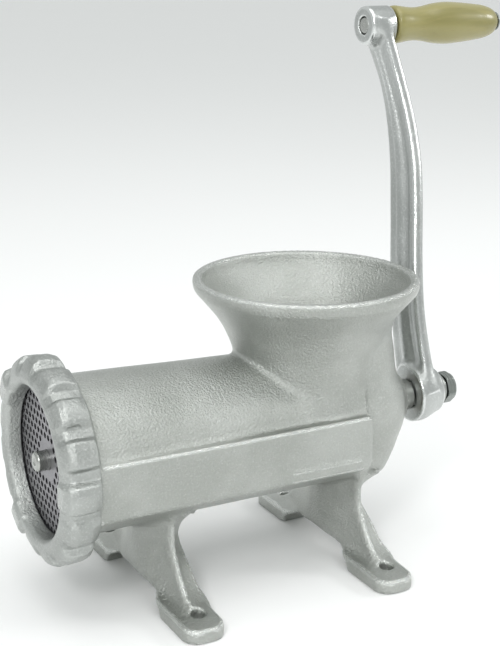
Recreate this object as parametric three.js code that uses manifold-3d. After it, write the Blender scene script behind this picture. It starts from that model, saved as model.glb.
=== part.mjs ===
// Hand crank meat grinder: tinned iron body on two saddle legs, ring nut, plate, knife, worm and crank.
// Millimetres, +Z up. X runs along the worm: the outlet is at -X, the crank at +X, and the near side is -Y.
// Pieces are placed from the front foot holes (X = 0) and the floor (Z = 0); the last lines centre the group.
import * as THREE from "three";
import { mergeVertices } from "three/addons/utils/BufferGeometryUtils.js";
import Module from "manifold-3d";

const wasm = await Module();
wasm.setup();

// ---------- driving dimensions ----------
const AXIS_Z = 77.3; // height of the worm's axis
const GAP = 0.3; // clearance between pieces that touch
const FOOT_X = 106.8; // foot holes, front pair to rear pair
const FOOT_Y = 51.8; // foot holes, each side of the middle
const FOOT_HOLE_R = 3.5;
const PAD_TOP = 8; // thickness of a foot pad
const LEG_MIDDLE_X = -1.65; // a leg pair's middle, from its foot holes
const LEG_HALF_X = 10.65; // half thickness of a leg pair along the barrel
const LEG_CREST_X = 1.8; // half thickness of the crest between its hollows
const LEG_TOP = 60;
const ARCH_HALF_Y = 33;
const ARCH_Z = 12.3;

const BARREL_START = -42; // behind the threaded head
const BARREL_R = 36.2;
const BORE_FRONT_R = 33.5;
const BORE_REAR_R = 32;
const BORE_NECK_R = 26; // behind the flight, where the rear wall narrows
const BORE_END = 120;
const HEAD_R = 43.6; // threaded head inside the ring nut
const HEAD_FRONT = -52.5;
const HEAD_BACK = -44.5;
const PANEL_Y = 41.1; // flat side panels
const PANEL_LOW = 58;
const PANEL_HIGH = 85.8;
const PANEL_END = 105;
const LEDGE = { from: 54, to: 101, y: 42.4, low: 60, high: 64.6 }; // strip under the panel
const BEARING_R = 10.5;
const BODY_END = 147.3;
const REAR_WALL_R = 30; // half-round rear wall, seen from above

const HOPPER_X = 87.2;
const HOPPER_TOP = 151;

const PLATE_R = 41;
const PLATE_FRONT = -53.6;
const PLATE_BACK = -45.6;
const PLATE_HOLE_R = 1.9;
const PLATE_PITCH = 5.8;
const PLATE_HUB_R = 8;
const PLATE_RIM_R = 36.4;
const STUD_R = 4.9;
const STUD_FRONT = -60.2;
const STUD_BACK = -31.5;
const PIN_R = 1.8;

const RING_BACK = -44.2;
const RING_LIP = -60.2; // front edge of the mouth
const RING_MOUTH_R = 38; // at the lip; the mouth narrows towards the plate
const RING_THROAT_R = 36.2;
const RING_LUGS = 15;
const TALL_LUGS = [2, 6, 11]; // lugs that wrap round the front face
const LUG_START_DEG = 4; // first lug, from the top towards the far side
const LUG_R = 9.4;
const LUG_CENTRE_R = 42.3;
const LUG_SLOPE = 2.4; // bevel at both ends of a lug
const TALL_LUG_FRONT = -63.4;
const SHORT_LUG_FRONT = -58.8;

const KNIFE_R = 32.6;
const DRIVE_SQUARE = 14; // worm's front square, across flats
const FLIGHT_R = 31;
const FLIGHT_PITCH = 34;
const FLIGHT_START = -32;
const FLIGHT_END = 97;
const COLLAR_R = 25;
const COLLAR_END = 103;
const SHAFT_R = 8.4;
const SHAFT_END = 151.9;
const SQUARE_END = 168;
const CRANK_SQUARE = 11.6; // worm's rear square, across flats

const CRANK_LEAN = THREE.MathUtils.degToRad(20); // the arm leans to the far side
const CRANK_R = 203.5; // crank axis to grip axis
const HUB_FRONT = 152.3;
const HUB_BACK = 169.8;
const RIB_X = 5.8; // half thickness of the arm at its rib
const FLANGE_X = 2.8; // half thickness of the arm at its flange
const RIB_SHARE = 0.36; // half width of the rib, as a share of the flange's
const BOLT_R = 3.9;
const BOLT_HEAD_R = 9.8;
const BOLT_HEAD_FRONT = 174.5;
const BOLT_HEAD_BACK = 180.4;
const BOSS_R = 10.5;
const BOSS_FRONT = 162.7;
const BOSS_BACK = 179;
const GRIP_FRONT = 180.6;
const GRIP_END = 251.8;
const SPINDLE_R = 3.2;
const SPINDLE_END = 254.8;

// ---------- materials ----------
function finish(color, roughness, metalness) {
  return new THREE.MeshStandardMaterial({ color, roughness, metalness });
}
const TINNED_IRON = finish(0xb7b8af, 0.42, 0.85);
const PLATE_STEEL = finish(0x6f6c70, 0.45, 0.9);
const BRIGHT_STEEL = finish(0xa9aaa6, 0.3, 0.95);
const DARK_STEEL = finish(0x4c4f4f, 0.4, 0.9);
const BRONZE = finish(0x8f8a72, 0.45, 0.85);
const WOOD = finish(0xb3a971, 0.45, 0.0);

// ---------- solids ----------
function solid(geometry) {
  const bare = geometry.clone();
  bare.deleteAttribute("normal");
  bare.deleteAttribute("uv");
  const merged = mergeVertices(bare, 1e-4);
  const vertProperties = merged.attributes.position.array;
  const triVerts = new Uint32Array(merged.index.array);
  const made = new wasm.Manifold(new wasm.Mesh({ numProp: 3, vertProperties, triVerts }));
  if (made.volume() <= 0) throw new Error("a solid's faces point inwards");
  return made;
}

function geometryOf(manifold) {
  const mesh = manifold.getMesh();
  const geometry = new THREE.BufferGeometry();
  geometry.setAttribute("position", new THREE.BufferAttribute(mesh.vertProperties, 3));
  geometry.setIndex(new THREE.BufferAttribute(mesh.triVerts, 1));
  return geometry;
}

function joined(geometries) {
  return geometries.map(solid).reduce((whole, next) => whole.add(next));
}

function without(whole, geometries) {
  return geometries.map(solid).reduce((rest, next) => rest.subtract(next), whole);
}

// Turned about the X axis: the profile is [radius, x] pairs.
function turned(profile, segments = 48) {
  const points = profile.map(([radius, x]) => new THREE.Vector2(radius, x));
  const toX = new THREE.Matrix4().makeBasis(
    new THREE.Vector3(0, 0, 1),
    new THREE.Vector3(1, 0, 0),
    new THREE.Vector3(0, 1, 0),
  );
  return new THREE.LatheGeometry(points, segments).applyMatrix4(toX);
}

// Turned about a vertical axis: the profile is [radius, z] pairs.
function turnedUp(profile, segments = 48) {
  const points = profile.map(([radius, z]) => new THREE.Vector2(radius, z));
  return new THREE.LatheGeometry(points, segments).rotateX(Math.PI / 2);
}

// A closed profile of a round bar or ring from one X to another.
function bar(radius, from, to, bore = 0) {
  return bore > 0
    ? [[bore, from], [radius, from], [radius, to], [bore, to], [bore, from]]
    : [[0, from], [radius, from], [radius, to], [0, to]];
}

// Extruded along X: the outline's x and y become Y and Z.
function alongX(outline, from, to, options = {}) {
  const shape = outline instanceof THREE.Shape ? outline : new THREE.Shape(outline);
  const settings = { depth: to - from, bevelEnabled: false, ...options };
  const basis = new THREE.Matrix4().makeBasis(
    new THREE.Vector3(0, 1, 0),
    new THREE.Vector3(0, 0, 1),
    new THREE.Vector3(1, 0, 0),
  );
  return new THREE.ExtrudeGeometry(shape, settings).applyMatrix4(basis).translate(from, 0, 0);
}

function circle(radius, count, x = 0, y = 0) {
  return Array.from({ length: count }, (_, i) => {
    const angle = (2 * Math.PI * i) / count;
    return new THREE.Vector2(x + radius * Math.cos(angle), y + radius * Math.sin(angle));
  });
}

function square(side) {
  const h = side / 2;
  return [[-h, -h], [h, -h], [h, h], [-h, h]].map(([x, y]) => new THREE.Vector2(x, y));
}

function reshape(geometry, move) {
  const position = geometry.attributes.position;
  const point = new THREE.Vector3();
  for (let i = 0; i < position.count; i++) {
    move(point.fromBufferAttribute(position, i));
    position.setXYZ(i, point.x, point.y, point.z);
  }
  return geometry;
}

// A value read off the straight lines between [place, value] pairs.
function along(pairs) {
  return (place) => {
    const last = pairs.length - 2;
    let i = 0;
    while (i < last && place > pairs[i + 1][0]) i++;
    const [[x0, y0], [x1, y1]] = [pairs[i], pairs[i + 1]];
    const t = THREE.MathUtils.clamp((place - x0) / (x1 - x0), 0, 1);
    return y0 + (y1 - y0) * t;
  };
}

// ---------- body casting ----------
// One leg pair: flat faces at each end along X, a crest towards each foot, and a hollow between them.
// Both tables give half widths along Y at a height.
const flangeHalf = along([
  [0, 46],
  [5, 46],
  [12, 33.5],
  [18.5, 25.5],
  [24, 16.5],
  [30, 11.5],
  [37, 14.5],
  [45, 23],
  [52, 34],
  [60, 40],
]);
const crestHalf = along([
  [0, 50],
  [8, 50],
  [13, 44.5],
  [22, 35.5],
  [31, 30],
  [45, 28.5],
  [60, 28],
]);

// A point on a quarter of the leg's outline: flange face, then the curved hollow, then the crest.
function legOutline(quarter, height) {
  const flange = flangeHalf(height);
  const crest = crestHalf(height);
  const [flangeShare, crestShare] = [1 / 3, 5 / 6];
  if (quarter <= flangeShare) return [LEG_HALF_X, (quarter / flangeShare) * flange];
  if (quarter >= crestShare) return [(LEG_CREST_X * (1 - quarter)) / (1 - crestShare), crest];
  const t = (quarter - flangeShare) / (crestShare - flangeShare);
  const bend = [LEG_CREST_X * 1.8, flange + 0.12 * (crest - flange)];
  const mix = (a, b, c) => (1 - t) ** 2 * a + 2 * t * (1 - t) * b + t * t * c;
  return [mix(LEG_HALF_X, bend[0], LEG_CREST_X), mix(flange, bend[1], crest)];
}

function legWeb(x) {
  const grid = new THREE.CylinderGeometry(1, 1, 1, 24, 10);
  return reshape(grid, (p) => {
    const height = (p.y + 0.5) * LEG_TOP;
    const onEdge = Math.hypot(p.x, p.z) > 0.5;
    const angle = Math.atan2(Math.abs(p.x), Math.abs(p.z));
    const [outX, outY] = onEdge ? legOutline(angle / (Math.PI / 2), height) : [0, 0];
    p.set(x + LEG_MIDDLE_X + Math.sign(p.z) * outX, Math.sign(p.x) * outY, height);
  });
}

function footPad(x, side) {
  const outline = [
    [-LEG_HALF_X, 24],
    [-LEG_HALF_X, 57],
    [-9, 64],
    [-4.4, 67.4],
    [3.6, 67.4],
    [8.4, 64],
    [LEG_HALF_X, 50],
    [LEG_HALF_X, 24],
  ].map(([px, py]) => new THREE.Vector2(x + LEG_MIDDLE_X + px, side * py));
  const bevel = 1;
  return new THREE.ExtrudeGeometry(new THREE.Shape(outline), {
    depth: PAD_TOP - 2 * bevel,
    bevelThickness: bevel,
    bevelSize: bevel,
    bevelOffset: -bevel,
    bevelSegments: 1,
  }).translate(0, 0, bevel);
}

function archCut(x) {
  const outline = new THREE.Shape();
  outline.absellipse(0, 0, ARCH_HALF_Y, ARCH_Z, 0, Math.PI, false);
  outline.lineTo(-ARCH_HALF_Y, -5);
  outline.lineTo(ARCH_HALF_Y, -5);
  return alongX(outline, x - 20, x + 20, { curveSegments: 8 });
}

// Middle of the half-round rear wall at a height, so that it leans with the casting's back.
const rearWallX = along([
  [38, 103],
  [48, 105],
  [53, 107.5],
  [58, 110],
  [65, 112],
  [80, 114],
  [87, 112.4],
  [99, 108.7],
  [110, 107],
  [123, 105.5],
  [130, 109],
  [139, 110],
]);

// The rear wall stands straight up into the hopper's neck, and is rounded under the axis by a drum.
function rearWall() {
  const [low, high, top] = [38, 139, 145];
  const column = reshape(new THREE.CylinderGeometry(1, 1, 1, 36, 12), (p) => {
    const height = low + (p.y + 0.5) * (high - low);
    p.set(rearWallX(height) + p.z * REAR_WALL_R, p.x * REAR_WALL_R, height);
  });
  const drum = turned([
    [0, 60],
    [BARREL_R, 60],
    [BARREL_R, 100],
    [38, 107],
    [38.6, 115],
    [38.3, 122],
    [36.6, 128.4],
    [33.5, 134],
    [29.6, 137.8],
    [25.3, 140.7],
    [18.8, 144.6],
    [14.2, 146.4],
    [12.6, BODY_END],
    [0, BODY_END],
  ], 40).translate(0, 0, AXIS_Z);
  const above = new THREE.BoxGeometry(100, 100, top - AXIS_Z).translate(FOOT_X, 0, (top + AXIS_Z) / 2);
  return solid(column).intersect(joined([drum, above]));
}

// The boss round the worm's shaft, at the very back.
function bearingBoss() {
  return turned([
    [0, 120],
    [21, 130],
    [19.5, 141.5],
    [16.4, 144.8],
    [13.6, 146.2],
    [12.2, BODY_END],
    [0, BODY_END],
  ], 32).translate(0, 0, AXIS_Z);
}

function hopperOutside() {
  return turnedUp([
    [0, 78],
    [35.6, 78],
    [35.6, 103],
    [36.4, 109],
    [38, 116],
    [40.4, 122],
    [43.4, 128],
    [47, 133.4],
    [51.2, 138.6],
    [54.6, 142.6],
    [56.6, 145],
    [57.3, 147],
    [57.3, 149.4],
    [56, HOPPER_TOP],
    [0, HOPPER_TOP],
  ], 44).translate(HOPPER_X, 0, 0);
}

function hopperInside() {
  return turnedUp([
    [0, AXIS_Z],
    [31, AXIS_Z],
    [31, 102],
    [31.4, 108],
    [33, 116],
    [35.7, 123],
    [39.2, 130],
    [43.4, 136],
    [47.8, 141.4],
    [51.2, 146],
    [52.6, 149.4],
    [53.4, HOPPER_TOP + 1],
    [0, HOPPER_TOP + 1],
  ], 44).translate(HOPPER_X, 0, 0);
}

// Seat for the plate, room for the knife, then the long bore that narrows behind the flight.
function boreInside() {
  const seatR = PLATE_R + 0.4;
  return turned([
    [0, HEAD_FRONT - 1],
    [seatR, HEAD_FRONT - 1],
    [seatR, PLATE_BACK + GAP],
    [36.2, PLATE_BACK + GAP],
    [36.2, -40],
    [BORE_FRONT_R, -38],
    [BORE_REAR_R, 90],
    [BORE_REAR_R, FLIGHT_END + 1],
    [BORE_NECK_R, COLLAR_END + 1],
    [BORE_NECK_R, BORE_END],
    [0, BORE_END],
  ], 40).translate(0, 0, AXIS_Z);
}

function sidePanels() {
  const skirt = PANEL_LOW - 9;
  const outline = [
    [-PANEL_Y, PANEL_LOW],
    [-28, skirt],
    [28, skirt],
    [PANEL_Y, PANEL_LOW],
    [PANEL_Y, PANEL_HIGH],
    [-PANEL_Y, PANEL_HIGH],
  ].map(([y, z]) => new THREE.Vector2(y, z));
  return alongX(outline, BARREL_START, PANEL_END);
}

function ledge() {
  const { from, to, y, low, high } = LEDGE;
  const outline = [[-y, low], [y, low], [y, high], [-y, high]];
  return alongX(outline.map((p) => new THREE.Vector2(...p)), from, to);
}

function bodyCasting() {
  const barrel = turned([
    [0, HEAD_FRONT],
    [HEAD_R - 1, HEAD_FRONT],
    [HEAD_R, HEAD_FRONT + 1],
    [HEAD_R, HEAD_BACK],
    [39.2, BARREL_START],
    [38.3, -12],
    [37.2, 16],
    [BARREL_R, 50],
    [BARREL_R, 103],
    [34.6, 107],
    [30, 110],
    [0, 110],
  ], 40).translate(0, 0, AXIS_Z);
  const outside = [barrel, sidePanels(), ledge(), hopperOutside(), bearingBoss()];
  for (const x of [0, FOOT_X]) outside.push(legWeb(x), footPad(x, -1), footPad(x, 1));

  const bearing = turned(bar(BEARING_R, BORE_END - 1, BODY_END + 1), 32).translate(0, 0, AXIS_Z);
  const cuts = [boreInside(), hopperInside(), bearing, archCut(0), archCut(FOOT_X)];
  for (const x of [0, FOOT_X]) {
    for (const side of [-1, 1]) {
      const hole = turnedUp([[0, -1], [FOOT_HOLE_R, -1], [FOOT_HOLE_R, 30], [0, 30]], 16);
      cuts.push(hole.translate(x, side * FOOT_Y, 0));
    }
  }
  cuts.push(turned(bar(PIN_R + 0.4, HEAD_FRONT - 1, PLATE_BACK), 12).translate(0, 0, AXIS_Z - PLATE_R));
  return geometryOf(without(joined(outside).add(rearWall()), cuts));
}

// ---------- outlet end ----------
function ringNut() {
  const threadR = HEAD_R + GAP;
  const seatR = PLATE_R + 0.4;
  const ring = turned([
    [RING_MOUTH_R, RING_LIP],
    [38.8, -61.8],
    [40.8, -62.6],
    [43.5, -61.6],
    [47.1, -59.1],
    [48.3, -57],
    [48, -50],
    [46.4, -45.2],
    [45.8, RING_BACK],
    [threadR, RING_BACK],
    [threadR, HEAD_FRONT - GAP],
    [seatR, HEAD_FRONT - GAP],
    [seatR, PLATE_FRONT - GAP],
    [RING_THROAT_R, PLATE_FRONT - GAP],
    [RING_MOUTH_R, RING_LIP],
  ], 40);
  const lugs = [];
  for (let i = 0; i < RING_LUGS; i++) {
    const front = TALL_LUGS.includes(i) ? TALL_LUG_FRONT : SHORT_LUG_FRONT;
    const lug = alongX(circle(LUG_R, 14), front + LUG_SLOPE, RING_BACK - LUG_SLOPE, {
      bevelEnabled: true,
      bevelThickness: LUG_SLOPE,
      bevelSize: LUG_SLOPE,
      bevelOffset: -LUG_SLOPE,
      bevelSegments: 1,
    });
    const angle = THREE.MathUtils.degToRad(LUG_START_DEG + (360 / RING_LUGS) * i);
    lugs.push(lug.translate(0, LUG_CENTRE_R * Math.sin(angle), LUG_CENTRE_R * Math.cos(angle)));
  }
  const cuts = [
    turned(bar(threadR, HEAD_FRONT - GAP, 0), 40),
    turned(bar(seatR, PLATE_FRONT - GAP, 0), 40),
    turned([
      [0, -70],
      [RING_MOUTH_R, -70],
      [RING_MOUTH_R, RING_LIP],
      [RING_THROAT_R, PLATE_FRONT - GAP],
      [RING_THROAT_R, 0],
      [0, 0],
    ], 40),
  ];
  return geometryOf(without(joined([ring, ...lugs]), cuts));
}

function outletPlate() {
  const disc = new THREE.Shape(circle(PLATE_R, 60));
  disc.holes.push(new THREE.Path(circle(STUD_R + 0.5, 20)));
  const rowStep = PLATE_PITCH * Math.sqrt(3) / 2;
  const reach = Math.ceil(PLATE_R / rowStep);
  for (let row = -reach; row <= reach; row++) {
    for (let column = -reach; column <= reach; column++) {
      const y = (column + (row % 2 === 0 ? 0 : 0.5)) * PLATE_PITCH;
      const z = row * rowStep;
      const distance = Math.hypot(y, z);
      const inHub = distance < PLATE_HUB_R + PLATE_HOLE_R;
      const inRim = distance > PLATE_RIM_R - PLATE_HOLE_R;
      if (!inHub && !inRim) disc.holes.push(new THREE.Path(circle(PLATE_HOLE_R, 6, y, z)));
    }
  }
  const notch = turned(bar(PIN_R + 0.4, PLATE_FRONT - 1, PLATE_BACK + 1), 12).translate(0, 0, -PLATE_R);
  return geometryOf(without(solid(alongX(disc, PLATE_FRONT, PLATE_BACK)), [notch]));
}

// ---------- worm and knife ----------
function knife() {
  const blade = [[12, -7], [KNIFE_R - 1, -5.5], [KNIFE_R, 0], [KNIFE_R - 2, 4.5], [12, 6]];
  const outline = [];
  for (let quarter = 0; quarter < 4; quarter++) {
    const turn = (quarter * Math.PI) / 2;
    for (const [out, across] of blade) {
      const y = out * Math.cos(turn) - across * Math.sin(turn);
      const z = out * Math.sin(turn) + across * Math.cos(turn);
      outline.push(new THREE.Vector2(y, z));
    }
  }
  const shape = new THREE.Shape(outline);
  shape.holes.push(new THREE.Path(square(DRIVE_SQUARE + 2 * GAP)));
  return alongX(shape, PLATE_BACK + GAP, -36);
}

// The flight's section across X, as [degrees, radius]: a broad tooth on a round core.
function flightSection() {
  const coreR = 13.5;
  const tooth = [[-34, 14], [-24, 29.5], [-20, FLIGHT_R], [20, FLIGHT_R], [24, 29.5], [34, 14]];
  const core = [58, 107, 156, 204, 253, 302].map((degrees) => [degrees, coreR]);
  return [...tooth, ...core].map(([degrees, radius]) => {
    const angle = THREE.MathUtils.degToRad(degrees);
    return new THREE.Vector2(radius * Math.cos(angle), radius * Math.sin(angle));
  });
}

function worm() {
  const stepsPerTurn = 10;
  const steps = Math.round(((FLIGHT_END - FLIGHT_START) / FLIGHT_PITCH) * stepsPerTurn);
  const flight = reshape(alongX(flightSection(), FLIGHT_START, FLIGHT_END, { steps }), (p) => {
    const angle = (2 * Math.PI * (p.x - FLIGHT_START)) / FLIGHT_PITCH;
    const [y, z] = [p.y, p.z];
    p.y = y * Math.cos(angle) - z * Math.sin(angle);
    p.z = y * Math.sin(angle) + z * Math.cos(angle);
  });
  const whole = joined([
    flight,
    turned(bar(12, -35.7, FLIGHT_START + 1), 24),
    alongX(square(DRIVE_SQUARE), -44.8, -35),
    turned(bar(COLLAR_R, FLIGHT_END - 1, COLLAR_END), 32),
    turned(bar(14, COLLAR_END - 1, BORE_END - 2.6), 24),
    turned(bar(SHAFT_R, BORE_END - 3, SHAFT_END), 24),
    alongX(square(CRANK_SQUARE), SHAFT_END - 1, SQUARE_END).rotateX(-CRANK_LEAN),
  ]);
  const studHole = turned(bar(STUD_R + GAP, -50, STUD_BACK + 0.5), 16);
  const boltHole = turned(bar(BOLT_R + GAP, 154, 180), 16);
  return geometryOf(without(whole, [studHole, boltHole]));
}

// ---------- crank ----------
// The arm's middle along X, and its half width along Y, at a distance out from the hub.
const armMiddle = along([
  [0, 160],
  [23, 160],
  [41, 161.2],
  [69, 165.3],
  [100, 171.4],
  [125, 175.6],
  [150, 177.2],
  [171, 176.2],
  [190, 173.4],
  [CRANK_R, 171],
]);
const armHalf = along([
  [0, 14.5],
  [23, 13.1],
  [41, 12.2],
  [120, 11.8],
  [137, 10.6],
  [157, 8.9],
  [172, 8],
  [190, 9],
  [CRANK_R, 10],
]);

function crankArm() {
  const half = [
    [FLANGE_X, -1],
    [FLANGE_X, -RIB_SHARE],
    [RIB_X, -RIB_SHARE / 2],
    [RIB_X, RIB_SHARE / 2],
    [FLANGE_X, RIB_SHARE],
    [FLANGE_X, 1],
  ];
  const outline = [...half, ...half.map(([x, y]) => [-x, -y])].map(([x, y]) => new THREE.Vector2(x, y));
  const settings = { depth: CRANK_R, steps: 18, bevelEnabled: false };
  const straight = new THREE.ExtrudeGeometry(new THREE.Shape(outline), settings);
  const arm = reshape(straight, (p) => {
    p.x += armMiddle(p.z);
    p.y *= armHalf(p.z);
  });
  const hub = turned([
    [0, HUB_FRONT],
    [14.4, HUB_FRONT],
    [15.4, HUB_FRONT + 1],
    [15.2, 160],
    [13.4, 165.4],
    [11.4, HUB_BACK],
    [0, HUB_BACK],
  ], 36);
  const boss = turned([
    [0, BOSS_FRONT],
    [BOSS_R - 1.2, BOSS_FRONT],
    [BOSS_R, BOSS_FRONT + 1.4],
    [BOSS_R, BOSS_BACK],
    [0, BOSS_BACK],
  ], 28).translate(0, 0, CRANK_R);
  const cuts = [
    alongX(square(CRANK_SQUARE + 0.8), 140, 190),
    turned(bar(SPINDLE_R + GAP, 150, 190), 16).translate(0, 0, CRANK_R),
    turned(bar(5, 150, BOSS_FRONT + 2.6), 16).translate(0, 0, CRANK_R),
    turned(bar(12, HUB_BACK, 190), 20),
  ];
  return geometryOf(without(joined([arm, hub, boss]), cuts));
}

function crankBolt() {
  const head = alongX(circle(BOLT_HEAD_R, 6), BOLT_HEAD_FRONT, BOLT_HEAD_BACK);
  return geometryOf(joined([head, turned(bar(BOLT_R, 155, BOLT_HEAD_FRONT + 1), 16)]));
}

function springWasher() {
  const [from, to] = [172, 174.2];
  const slot = new THREE.BoxGeometry(6, 1.6, 12).translate((from + to) / 2, 0, 6);
  return geometryOf(without(solid(turned(bar(7.6, from, to, BOLT_R + 0.5), 28)), [slot]));
}

function grip() {
  const bore = SPINDLE_R + GAP;
  return turned([
    [bore, GRIP_FRONT],
    [9.6, GRIP_FRONT],
    [10.4, 182],
    [9.8, 189],
    [9.2, 196],
    [9.8, 201],
    [11, 208],
    [11.7, 217],
    [11.3, 226],
    [10.3, 236],
    [9, 244.6],
    [6.4, 250.2],
    [4.8, GRIP_END],
    [bore, GRIP_END],
    [bore, GRIP_FRONT],
  ], 32);
}

function gripSpindle() {
  const collarR = SPINDLE_R + 1.3;
  const front = BOSS_FRONT + 0.4;
  return turned([
    [0, front],
    [collarR - 0.5, front],
    [collarR, front + 0.8],
    [collarR, front + 1.9],
    [SPINDLE_R, front + 1.9],
    [SPINDLE_R, SPINDLE_END - 1.4],
    [collarR - 0.3, SPINDLE_END - 1.4],
    [collarR - 1.1, SPINDLE_END - 0.4],
    [0, SPINDLE_END],
  ], 20);
}

// ---------- assembly ----------
const group = new THREE.Group();

function place(parent, name, geometry, material, x = 0, y = 0, z = 0) {
  const mesh = new THREE.Mesh(geometry, material);
  mesh.name = name;
  mesh.position.set(x, y, z);
  parent.add(mesh);
}

// A flat washer from one X to another.
function washer(radius, from, to, bore, segments = 24) {
  return turned(bar(radius, from, to, bore), segments);
}

place(group, "body_casting", bodyCasting(), TINNED_IRON);

const axis = new THREE.Group();
axis.position.z = AXIS_Z;
group.add(axis);
const pin = turned(bar(PIN_R, HEAD_FRONT + 0.2, PLATE_BACK - 0.4), 12);
const stud = turned([
  [0, STUD_FRONT],
  [STUD_R - 0.8, STUD_FRONT],
  [STUD_R, STUD_FRONT + 0.8],
  [STUD_R, STUD_BACK],
  [0, STUD_BACK],
], 20);
const thrust = washer(20, BORE_END - 2.3, BORE_END - GAP, SHAFT_R + 0.4, 32);
const bush = washer(BEARING_R - GAP, BORE_END + 0.5, BODY_END - 0.3, SHAFT_R + GAP, 32);
place(axis, "ring_nut", ringNut(), TINNED_IRON);
place(axis, "outlet_plate", outletPlate(), PLATE_STEEL);
place(axis, "plate_pin", pin, BRIGHT_STEEL, 0, 0, -PLATE_R);
place(axis, "knife", knife(), PLATE_STEEL);
place(axis, "worm", worm(), TINNED_IRON);
place(axis, "front_stud", stud, BRIGHT_STEEL);
place(axis, "thrust_washer", thrust, BRONZE);
place(axis, "rear_bush", bush, BRONZE);

const crank = new THREE.Group();
crank.rotation.x = -CRANK_LEAN;
axis.add(crank);
const boltWasher = washer(9.6, HUB_BACK + GAP, 171.7, BOLT_R + 0.5, 28);
const gripWasher = washer(8, BOSS_BACK + GAP, GRIP_FRONT - GAP, SPINDLE_R + GAP);
const endWasher = washer(5.4, GRIP_END + GAP, SPINDLE_END - 1.7, SPINDLE_R + GAP, 20);
place(crank, "crank_arm", crankArm(), TINNED_IRON);
place(crank, "crank_washer", boltWasher, BRIGHT_STEEL);
place(crank, "spring_washer", springWasher(), DARK_STEEL);
place(crank, "crank_bolt", crankBolt(), DARK_STEEL);
place(crank, "grip_washer", gripWasher, DARK_STEEL, 0, 0, CRANK_R);
place(crank, "grip", grip(), WOOD, 0, 0, CRANK_R);
place(crank, "grip_end_washer", endWasher, DARK_STEEL, 0, 0, CRANK_R);
place(crank, "grip_spindle", gripSpindle(), DARK_STEEL, 0, 0, CRANK_R);

// The origin is on the floor, under the middle of the whole object.
const box = new THREE.Box3().setFromObject(group, true);
const centre = box.getCenter(new THREE.Vector3());
group.position.set(-centre.x, -centre.y, -box.min.z);

export default group;
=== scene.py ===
"""Looks of a hand crank meat grinder, built round its CAD frame.

Shapes are worked out in the maker's frame, in millimetres: X runs along the worm from the
front foot holes, Y to the far side, Z up from the floor. `to_frame` moves them to the part's frame.
"""

import bpy
import numpy as np
from mathutils import Matrix, Vector
from mathutils.geometry import delaunay_2d_cdt


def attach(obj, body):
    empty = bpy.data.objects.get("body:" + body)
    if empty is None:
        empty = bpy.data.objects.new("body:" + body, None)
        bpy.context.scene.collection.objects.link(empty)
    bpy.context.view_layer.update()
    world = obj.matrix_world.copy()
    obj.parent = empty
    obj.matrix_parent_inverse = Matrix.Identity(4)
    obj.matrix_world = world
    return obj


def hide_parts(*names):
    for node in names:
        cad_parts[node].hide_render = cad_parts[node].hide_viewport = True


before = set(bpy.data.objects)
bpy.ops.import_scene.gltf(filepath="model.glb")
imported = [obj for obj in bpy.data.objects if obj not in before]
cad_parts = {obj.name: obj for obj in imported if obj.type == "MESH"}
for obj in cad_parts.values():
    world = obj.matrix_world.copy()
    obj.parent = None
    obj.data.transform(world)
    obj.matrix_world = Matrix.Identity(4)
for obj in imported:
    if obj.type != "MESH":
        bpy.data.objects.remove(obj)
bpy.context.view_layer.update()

# ---------------------------------------------------------------- sizes, in millimetres
SHIFT = np.array([95.7, 6.945, 0.0])  # maker's frame to the part's frame
AXIS_Z = 77.3
LEAN = np.radians(20.0)  # the crank leans to the far side
CRANK_R = 203.5

HEAD_R, HEAD_FRONT, HEAD_BACK = 43.6, -52.5, -44.5
BARREL_END = 104.0
PANEL_Y, PANEL_LOW, PANEL_HIGH = 41.1, 58.0, 85.8
PANEL_START, PANEL_END = -43.9, 107.0
PANEL_UNDER = (0.566, 0.824)  # the sine and cosine that the panel's lower face slopes by
LEDGE_Y, LEDGE_Z, LEDGE_HALF_HIGH = 42.0, 61.6, 3.0
LEDGE_X, LEDGE_HALF_LONG = 77.5, 23.5
REAR_WALL_R, REAR_WALL_TOP, DOME_START = 29.4, 139, 105
BORE_START, BORE_END = -40, 119
SEAT_R, SEAT_START, SEAT_END = 36.2, -60, -38  # the wide front of the bore
PIN_GROOVE_R = 2.2
BEARING_R, BODY_END = 10.5, 145.8
HOPPER_X, HOPPER_TOP = 87.2, 151.0
FOOT_X, FOOT_Y, FOOT_HOLE_R = 106.8, 51.8, 3.5
LEG_MIDDLE, LEG_HALF, LEG_CREST = -1.65, 10.65, 1.8
PAD_TOP, PAD_Y, PAD_HALF_Y, PAD_CORNER = 8.0, 45.2, 22.2, 8.0
ARCH_Y, ARCH_Z = 33.0, 12.3
PLATE_R, PLATE_FRONT, PLATE_BACK = 41.0, -53.6, -45.6
PLATE_HOLE_R, PLATE_PITCH = 1.5, 4.5
PLATE_HUB_R, PLATE_RIM_R, STUD_HOLE_R = 9.0, 36.9, 5.1
HUB_START, HUB_END, HUB_SQUARE = 152.3, 169.8, 12.4
GRIP_BOSS_R, GRIP_BOSS_START, GRIP_BOSS_END = 10.5, 162.7, 179
CRANK_SQUARE, KNIFE_SQUARE, BOLT_ACROSS = 11.6, 14, 15.4
GRIP_START, GRIP_END, GRIP_BORE_R = 180.6, 251.8, 3.5
RING_LUGS, LUG_START, TALL_LUGS = 15, 4.0, (2, 6, 11)


# ---------------------------------------------------------------- curves and meshes
def through(pairs):
    """A smooth curve through (place, value) pairs: a cubic on each span, whose end slopes are the
    finite differences of the neighbours. Past either end the value stays the same."""
    places, values = np.array(pairs, float).T
    slopes = np.gradient(values, places)

    def value(x):
        x = np.clip(x, places[0], places[-1])
        i = np.clip(np.searchsorted(places, x) - 1, 0, len(places) - 2)
        span = places[i + 1] - places[i]
        t = (x - places[i]) / span
        rise = values[i + 1] - values[i]
        start, end = slopes[i] * span, slopes[i + 1] * span
        return values[i] + t * start + t**2 * (3 * rise - 2 * start - end) + t**3 * (start + end - 2 * rise)

    return value


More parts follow.
